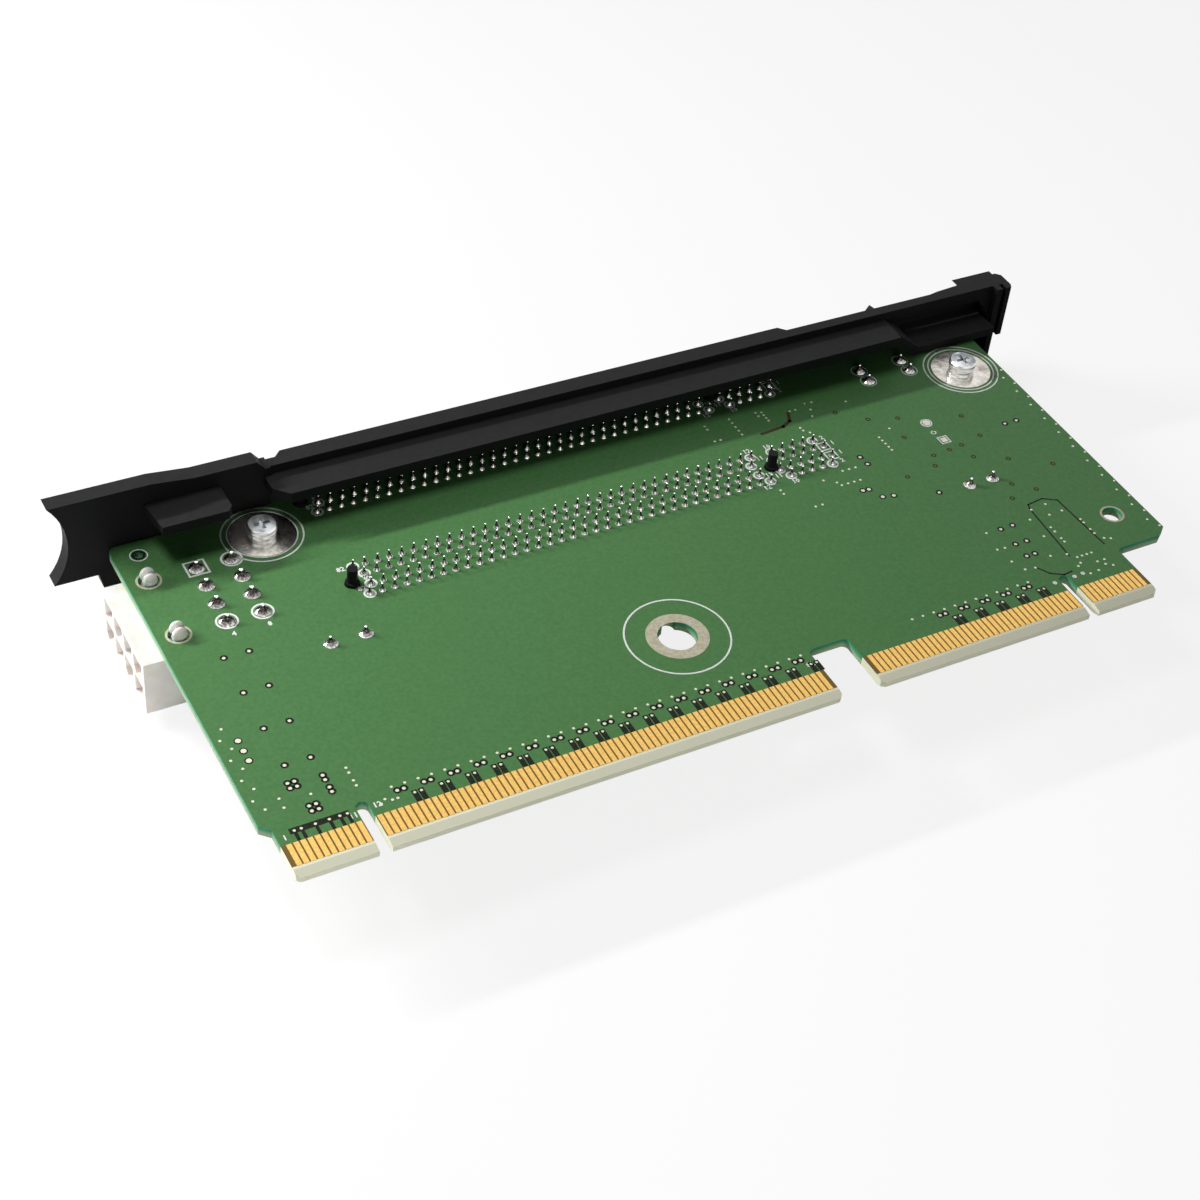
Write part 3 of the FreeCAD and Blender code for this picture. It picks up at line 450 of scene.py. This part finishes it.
def bar(bm, x, y, long_, wide, turn=0.0):
    """Thin rectangular patch lying on the board."""
    made = bmesh.ops.create_cube(bm, size=1)["verts"]
    place = (Matrix.Translation((x, y, FACE + INK / 2)) @ Matrix.Rotation(turn, 4, "Z")
             @ Matrix.Diagonal((long_, wide, INK, 1)))
    bmesh.ops.transform(bm, matrix=place, verts=made)


def trace(bm, points, wide):
    """Thin stripe along a run of points."""
    for start, end in zip(points, points[1:]):
        run = Vector(end) - Vector(start)
        middle = (Vector(start) + Vector(end)) / 2
        bar(bm, middle.x, middle.y, run.length + wide, wide, math.atan2(run.y, run.x))


# ---- pins of the slots -------------------------------------------------------------------

def pin_x(pin):
    """Place of a pin along the slot, whose key stands between its two groups of pins."""
    if pin >= FIRST_AFTER_KEY:
        return SLOT_KEY - KEY_TO_PIN - (pin - FIRST_AFTER_KEY)
    return SLOT_KEY + KEY_TO_PIN + (FIRST_AFTER_KEY - 1 - pin)


def slot_pins(middle):
    """Number and place of every pin of a slot, in four staggered rows."""
    for pin in range(1, SLOT_PINS + 1):
        offset = ROW_OUTER if pin % 2 == 0 else ROW_INNER
        for sign in (-1, 1):
            yield pin, pin_x(pin), middle + sign * offset


# ---- solder ------------------------------------------------------------------------------

def make_slot_joints():
    """Round cones of solder with the cut tail tips standing out of them."""
    cone = turned([(0.5, 0), (0.44, 0.14), (0.32, 0.38), (0.2, 0.68), (0.13, 0.98), (0.14, 1.2),
                   (0.18, 1.38), (0.1, 1.5), (0, 1.52)], 9)
    pad = disc(0.53, 12)
    for name, middle in zip(("near", "far"), SLOT_ROWS):
        bm = bmesh.new()
        for _, x, y in slot_pins(middle):
            stamp(bm, cone, x, y, turn=random.uniform(0, 6), size=random.uniform(0.94, 1.0),
                  lean=(random.uniform(-0.08, 0.08), random.uniform(-0.08, 0.08)))
            stamp(bm, pad, x, y)
        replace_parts(new_piece(f"{name}_slot_solder", bm, MATERIALS["solder"]),
                    f"{name}_slot_solder_joints")


def make_large_joints():
    """Wide domes of the power pins, and the steeper ones of the capacitor leads."""
    dome = turned([(1.32, 0), (1.25, 0.12), (1.02, 0.34), (0.74, 0.55), (0.5, 0.75), (0.38, 1.0),
                   (0.34, 1.35), (0.26, 1.48), (0, 1.5)], 28)
    bm = bmesh.new()
    for x in HEADER_COLUMNS:
        for y in HEADER_ROWS:
            stamp(bm, dome, x, y, turn=random.uniform(0, 6),
                  lean=(random.uniform(-0.06, 0.06), 0.03))
    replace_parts(new_piece("power_solder", bm, MATERIALS["solder"]),
                "power_header_solder_joints")
    steep = turned([(1.15, 0), (0.95, 0.12), (0.62, 0.38), (0.36, 0.7), (0.26, 1.0), (0.24, 1.38),
                    (0.15, 1.5), (0, 1.52)], 24)
    bm = bmesh.new()
    for x, y in CAN_LEADS + BLOCK_LEADS:
        stamp(bm, steep, x, y, turn=random.uniform(0, 6), size=0.97,
              lean=(0.05, random.uniform(-0.1, 0.1)))
    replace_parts(new_piece("lead_solder", bm, MATERIALS["solder"]),
                "capacitor_solder_joints")


def make_header_body():
    """The header, its round pegs drawn in and topped by two sprung prongs that hold the board."""
    peg_reach, neck, neck_top = 1.8, 0.5, FACE + 0.4
    prong_half, prong_place, prong_middle = (1.15, 0.7, 1.25), 0.64, FACE + 0.6
    bm = bmesh.new()
    bm.from_mesh(frame["nodes"]["power_header_housing"].data)
    bmesh.ops.scale(bm, vec=(1 / MM, 1 / MM, 1 / MM), verts=bm.verts)
    for x, y in LOCK_PEGS:
        for vert in bm.verts:
            away = vert.co.xy - Vector((x, y))
            if vert.co.z > BOARD_LOW.z + 0.01 and away.length < peg_reach:
                vert.co = (x + away.x * neck, y + away.y * neck, min(vert.co.z, neck_top))
        for side, rise in ((-1, 0.0), (1, 0.15)):
            prong = bmesh.ops.create_uvsphere(bm, u_segments=20, v_segments=12, radius=1)["verts"]
            place = (Matrix.Translation((x, y + side * prong_place, prong_middle + rise))
                     @ Matrix.Diagonal((*prong_half, 1)))
            bmesh.ops.transform(bm, matrix=place, verts=prong)
            for face in {face for vert in prong for face in vert.link_faces}:
                face.smooth = True
    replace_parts(new_piece("header_body", bm, MATERIALS["ivory_plastic"]),
                "power_header_housing")


# ---- pads, vias and windows in the mask --------------------------------------------------

def ringed_vias():
    """Vias with a dark clearance ring: pairs up the left side, clusters and rows by the tongues."""
    places = [(x, 42.4 - 7.67 * step) for step in range(4) for x in (-6.6, -2.8)]
    for cluster in ((-7.0, 15.6), (-5.9, 10.6)):
        places += [(cluster[0] + dx, cluster[1] + dy) for dx in (-0.5, 0.5) for dy in (-0.5, 0.5)]
    places += [(-2.6, y) for y in (15.6, 14.7, 13.2, 12.3)]
    places += [(5.5 + FINGER_GROUP * step + dx, 8.95) for step in range(17) for dx in (0, 1)]
    places += [(95.8 + FINGER_GROUP * step + dx, 9.0) for step in range(5) for dx in (0, 1)]
    places += [(116.7, 22.3), (119.1, 22.4), (116.8, 18.3), (119.0, 18.3), (116.8, 15.2)]
    places += [(118.4, 15.2)]
    places += [(112.5, 34.0), (105.4, 44.8), (105.2, 46.8), (133.7, 45.2), (136.1, 45.2)]
    return places


def plain_vias():
    """Small bare vias: along both side edges, over the tongues and about the near slot's end."""
    places = [(-12.0 - 0.95 * (step % 2), 29.2 - 2.05 * step) for step in range(9)]
    places += [(142.1 - 1.0 * (step % 2), 58.2 - 2.06 * step) for step in range(23)]
    places += [(5.0 + 2 * step, 9.85) for step in range(34)]
    places += [(91.2 + 2 * step, 9.9) for step in range(12)]
    places += [(-9.6, 13.9), (-9.6, 12.1), (-5.4, 13.0)]
    places += [(0.8, y) for y in (15.6, 14.6, 13.0, 12.0)]
    places += [(-9.9 + step, 7.75) for step in (0, 1, 3, 5, 6.5, 7.6)]
    places += [(2.5, 7.5), (3.3, 8.1), (4.2, 7.6), (5.0, 7.6)]
    places += [(127.2 - 0.95 * step, 11.75) for step in range(4)]
    places += [(130.6, y) for y in (19.3, 18.4, 16.6, 15.5)]
    places += [(124.7, y) for y in (19.5, 18.4, 16.6, 15.7)]
    places += [(124.3, 24.4), (127.4, 24.7), (126.4, 22.2), (129.0, 22.3), (122.6, 22.4)]
    places += [(122.3, 18.1), (123.2, 13.0), (124.0, 10.4), (123.2, 9.9), (126.8, 9.6)]
    places += [(128.2, 9.6), (127.7, 8.6), (128.7, 7.9), (125.7, 7.8), (124.0, 7.7)]
    places += [(120.4, 13.7), (113.9, 22.4), (113.2, 18.3), (114.6, 18.2), (113.7, 15.0)]
    places += [(114.6, 12.6), (116.4, 12.3), (131.4, 13.9), (132.4, 13.4)]
    places += [(100.5 + 1.25 * step, 44.8) for step in range(3)]
    places += [(98.0, 42.6)] + [(98.4 + 1.2 * step, 41.7) for step in range(4)]
    places += [(96.2, 43.9), (88.3, 44.4), (88.3, 43.4), (91.5, 38.7), (92.8, 38.7)]
    places += [(89.8, 63.8 - 1.1 * step) for step in range(5)]
    places += [(95.9, 63.4 - 0.8 * step) for step in range(4)]
    places += [(84.6, 59.5), (85.7, 59.5), (85.0, 63.6), (85.0, 62.7), (100.6, 61.9)]
    places += [(101.7, 61.9), (104.2, 61.0), (103.5, 59.3), (104.1, 62.8), (105.4, 62.7)]
    places += [(94.9, 63.7), (94.9, 62.7), (99.9, 57.3), (100.0, 56.5), (100.8, 55.6)]
    places += [(111.1, 60.7), (114.1, 51.5)]
    places += [(111.1 + 0.05 * step, 50.1 - 0.92 * step) for step in range(5)]
    return places


def faint_vias():
    """Vias under the mask, seen only as small brownish rings."""
    return [(112.0, 55.0), (117.0, 53.4), (115.1, 48.5), (127.7, 49.8), (127.7, 44.1),
            (123.3, 39.7), (128.6, 37.0), (120.5, 42.8), (117.1, 42.5), (115.8, 40.1),
            (123.2, 43.1), (125.2, 31.2), (123.1, 28.1), (128.3, 28.5), (109.8, 39.4),
            (107.7, 58.7), (135.0, 33.0)]


def make_vias():
    """Vias with their clearances, and the copper that shows faintly through the mask."""
    rings, dots = bmesh.new(), bmesh.new()
    dark, hole = disc(0.6, 16), disc(0.33, 12, WET_TIN)
    bright, small = disc(0.27, 12, WET_TIN), disc(0.22, 10, TIN)
    for x, y in ringed_vias():
        stamp(rings, dark, x, y)
        stamp(dots, bright, x - 0.04, y - 0.04)
    for x, y in plain_vias():
        stamp(dots, small, x, y)
    for y in (26.2, 24.1, 22.1):
        stamp(rings, ring(0.4, 0.62, 16), -10.7, y)
        stamp(dots, disc(0.42, 14, TIN), -10.7, y)
    for x, y in ((102.0, 39.1), (103.1, 36.6), (105.0, 36.2), (100.9, 39.2)):
        stamp(rings, ring(0.3, 0.6, 16), x, y)
        stamp(dots, hole, x, y)
    new_piece("via_clearances", rings, WINDOW)
    new_piece("via_pads", dots, VIA_TIN)
    bm = bmesh.new()
    for x, y in faint_vias():
        stamp(bm, ring(0.22, 0.46, 14), x, y)
    trace(bm, ((93.0, 58.3), (97.4, 58.7), (99.2, 59.6), (100.1, 61.6)), 0.6)
    new_piece("covered_copper", bm, MASKED_PAD)


def make_windows():
    """Dark patches where the copper stops: by the fingers, and the outlines near the right end."""
    bm, dots = bmesh.new(), bmesh.new()
    for first, count in ((7.5, 17), (97.7, 5)):
        for step in range(count):
            x = first + FINGER_GROUP * step
            for dx in (0, 1):
                bar(bm, x + dx, 6.98, 0.84, 2.2)
                stamp(dots, disc(0.22, 10, TIN), x + dx, 7.65)
    bar(bm, -6.3, 7.8, 8.6, 1.0)
    for x in (-9.9, -8.9, -6.9, -4.9, -3.4, -2.3):
        bar(bm, x, 6.58, 0.5, 1.42)
    trace(bm, ((123.3, 12.5), (124.2, 24.6), (124.6, 25.7), (127.7, 26.1), (129.9, 24.8),
               (130.5, 12.8)), 0.28)
    trace(bm, ((116.5, 12.4), (117.8, 10.3), (119.7, 9.1), (121.4, 9.3)), 0.3)
    new_piece("mask_windows", bm, WINDOW)
    new_piece("window_vias", dots, VIA_TIN)


def make_bare_areas():
    """Keyhole surround, tinned screw pads, test pads and the collars of the plain holes."""
    bm = bmesh.new()
    stamp(bm, ring(3.05, 4.86, 64), *KEYHOLE)
    stamp(bm, ring(1.68, 2.05, 40), *RIGHT_HOLE)
    for place in LOCK_PEGS:
        stamp(bm, ring(1.6, 1.95, 40), *place)
    new_piece("bare_laminate_areas", bm, RESIN)
    bm = bmesh.new()
    stamp(bm, ring(0.66, 1.05, 32), *TOOL_HOLE)
    new_piece("tool_hole_clearance", bm, WINDOW)
    bm = bmesh.new()
    for place in (LEFT_SCREW, RIGHT_SCREW):
        stamp(bm, ring(1.75, 5.25, 72), *place)
    stamp(bm, disc(0.7, 28), *ROUND_PAD)
    bar(bm, *SQUARE_PAD, 1.1, 1.1)
    new_piece("screw_pads", bm, PAD_TIN)


# ---- white print -------------------------------------------------------------------------

def number(bm, text, x, y, tall):
    """A small printed pin number, in a slightly bold stroke."""
    curve = bpy.data.curves.new("number", "FONT")
    curve.body = text
    curve.size = tall
    curve.align_x, curve.align_y = "CENTER", "CENTER"
    curve.extrude = INK / 2
    curve.offset = tall * 0.03
    curve.resolution_u = 1
    holder = bpy.data.objects.new("number", curve)
    mesh = bpy.data.meshes.new_from_object(holder)
    stamp(bm, mesh, x, y, FACE + INK / 2)
    bpy.data.objects.remove(holder)


# pin numbers by a slot: text, place along the card, and how far from the slot's middle
SLOT_NUMBERS = (("10", 91.9, 4.7), ("11", 89.3, 2.5), ("12", 88.2, 4.9), ("13", 88.6, -1.8),
                ("11", 90.0, -2.6), ("10", 91.9, -4.8), ("12", 86.7, -4.5), ("82", 16.0, 3.3),
                ("81", 19.0, 0.2), ("82", 17.3, -1.8), ("2", 101.9, 3.4), ("1", 102.9, 1.6),
                ("1", 102.9, -1.0), ("2", 102.0, -3.0))


def square(bm, x, y, half, wide):
    """Outline of a square that stands on its first pin."""
    for dx, dy, turn, grown in ((0, 1, 0, 1), (0, -1, 0, 1), (1, 0, 1, -1), (-1, 0, 1, -1)):
        bar(bm, x + dx * half, y + dy * half, 2 * half + grown * wide, wide, turn * math.pi / 2)


def make_print():
    """White rings round holes, screws and pins, squares at first pins, and the pin numbers."""
    half_stroke = 0.13
    number_tall, edge_number_tall = 1.35, 1.3
    bm = bmesh.new()
    stamp(bm, ring(7.92, 8.2, 96), *KEYHOLE)
    for place, radii in ((LEFT_SCREW, (5.3, 6.24)), (RIGHT_SCREW, (5.8, 6.6))):
        for radius in radii:
            stamp(bm, ring(radius - half_stroke, radius + half_stroke, 80), *place)
    stamp(bm, ring(1.2, 1.38, 36), *TOOL_HOLE)
    stamp(bm, ring(0.8, 1.05, 32), *ROUND_PAD)
    stamp(bm, ring(0.3, 0.5, 20), 120.6, 47.7)
    square(bm, *SQUARE_PAD, 0.85, 0.2)
    for x, y in ((117.2, 8.1), (121.1, 8.1), (122.8, 8.2)):
        stamp(bm, disc(0.38, 12), x, y)
    small = ring(0.68, 1.0, 28)
    for middle in SLOT_ROWS:
        for pin, x, y in slot_pins(middle):
            if pin in (2, 10, 11, 12, 13, 81, 82):
                stamp(bm, small, x, y)
            if pin == 1:
                square(bm, x, y, 0.94, 0.26)
        for text, x, up in SLOT_NUMBERS:
            number(bm, text, x, middle + up, number_tall)
    for x, y in ((2.06, 62.1), (-3.44, 49.5), (2.06, 49.5)):
        stamp(bm, ring(1.42, 1.72, 40), x, y)
    square(bm, -3.44, 62.1, 1.55, 0.3)
    number(bm, "4", -3.44, 46.6, edge_number_tall)
    number(bm, "8", 2.06, 46.6, edge_number_tall)
    for text, x in (("1", -11.5), ("11", -1.7), ("12", 2.0), ("82", 71.4)):
        number(bm, text, x, 7.0 if x < 0 else 7.6, edge_number_tall)
    for x, y in BLOCK_LEADS:
        stamp(bm, ring(1.35, 1.5, 32), x, y)
    new_piece("white_print", bm, INK_WHITE)


# ---- floor, light and camera -------------------------------------------------------------

def make_floor():
    """Pale floor just under the card: it glows white to the eye, and still takes the shadow."""
    gap, half_wide, glow_share, glow_strength = 0.0002, 2.5, 0.8, 1.06
    bm = bmesh.new()
    bmesh.ops.create_grid(bm, x_segments=1, y_segments=1, size=half_wide)
    mesh = bpy.data.meshes.new("floor")
    bm.to_mesh(mesh)
    bm.free()
    floor = bpy.data.objects.new("floor", mesh)
    floor.location.z = cad_box[0][2] - gap
    bpy.context.scene.collection.objects.link(floor)
    material, tree, shader = new_material("pale_floor", "#F7F7F7", 0.9)
    rays = node(tree, "ShaderNodeLightPath")
    seen = node(tree, "ShaderNodeMath", {"operation": "MULTIPLY", 1: glow_share},
                i0=rays.outputs["Is Camera Ray"])
    glow = node(tree, "ShaderNodeEmission", {"Color": (1, 1, 1, 1), "Strength": glow_strength})
    blend = node(tree, "ShaderNodeMixShader", i0=seen.outputs[0], i1=shader.outputs[0],
                 i2=glow.outputs[0])
    tree.links.new(blend.outputs[0], tree.nodes["Material Output"].inputs["Surface"])
    mesh.materials.append(material)


def add_panel(name, place, target, power, long_, wide):
    """A lit rectangle whose long side runs exactly along the card, tilted to look at a point."""
    lamp = bpy.data.lights.new(name, "AREA")
    lamp.shape = "RECTANGLE"
    lamp.energy, lamp.size, lamp.size_y = power, long_, wide
    panel = bpy.data.objects.new(name, lamp)
    away = Vector(place) - Vector(target)
    tilt = math.atan2(-away.y, away.z)
    panel.matrix_world = Matrix.Translation(place) @ Matrix.Rotation(tilt, 4, "X")
    bpy.context.scene.collection.objects.link(panel)


def make_light():
    """Three soft lamps, and white surroundings that show in the gloss and hardly fill the shade."""
    fill, surroundings = 0.02, 1.0
    world = bpy.data.worlds.new("studio")
    bpy.context.scene.world = world
    world.use_nodes = True
    tree = world.node_tree
    rays = node(tree, "ShaderNodeLightPath")
    shown = node(tree, "ShaderNodeMath", {"operation": "MAXIMUM"},
                 i0=rays.outputs["Is Camera Ray"], i1=rays.outputs["Is Glossy Ray"])
    shown = node(tree, "ShaderNodeMath", {"operation": "MAXIMUM"}, i0=shown.outputs[0],
                 i1=rays.outputs["Is Transmission Ray"])
    strength = node(tree, "ShaderNodeMapRange", {"To Min": fill, "To Max": surroundings},
                    Value=shown.outputs[0])
    tree.links.new(strength.outputs[0], tree.nodes["Background"].inputs["Strength"])
    tree.nodes["Background"].inputs["Color"].default_value = (1, 1, 1, 1)
    # a strip behind the card's left end: sharp along the lip, soft at the pegs, weaker to the right
    add_panel("strip", (-0.317, 0.339, 0.222), (0.0, 0.04, 0.0), 3.5, 0.35, 0.02)
    # a soft panel above the left end: its light stops close under the lip
    add_panel("overhead", (-0.06, 0.128, 0.27), (-0.06, 0.128, 0.0), 0.31, 0.09, 0.09)
    # a low panel in front reaches the upright faces and only grazes the board
    add_panel("front", (-0.05, -0.5, 0.06), (0.03, 0.0, 0.0), 0.9, 0.3, 0.3)


def make_camera():
    """Camera above and left of the tongues, looking along the card to its far right."""
    lens = bpy.data.cameras.new("camera")
    lens.lens = 68.05
    lens.sensor_width = 36
    lens.shift_x, lens.shift_y = -0.0872, 0.0029
    lens.clip_start = 0.01
    camera = bpy.data.objects.new("camera", lens)
    around, down, roll = (math.radians(angle) for angle in (-35.10, 48.18, 8.26))
    camera.matrix_world = (Matrix.Translation((-0.08416, -0.18441, 0.23036))
                           @ Matrix.Rotation(around, 4, "Z") @ Matrix.Rotation(down, 4, "X")
                           @ Matrix.Rotation(roll, 4, "Z"))
    bpy.context.scene.collection.objects.link(camera)
    bpy.context.scene.camera = camera


make_slot_joints()
make_large_joints()
make_header_body()
make_vias()
make_windows()
make_bare_areas()
make_print()
make_floor()
make_light()
make_camera()
bpy.context.scene.view_settings.view_transform = "Standard"
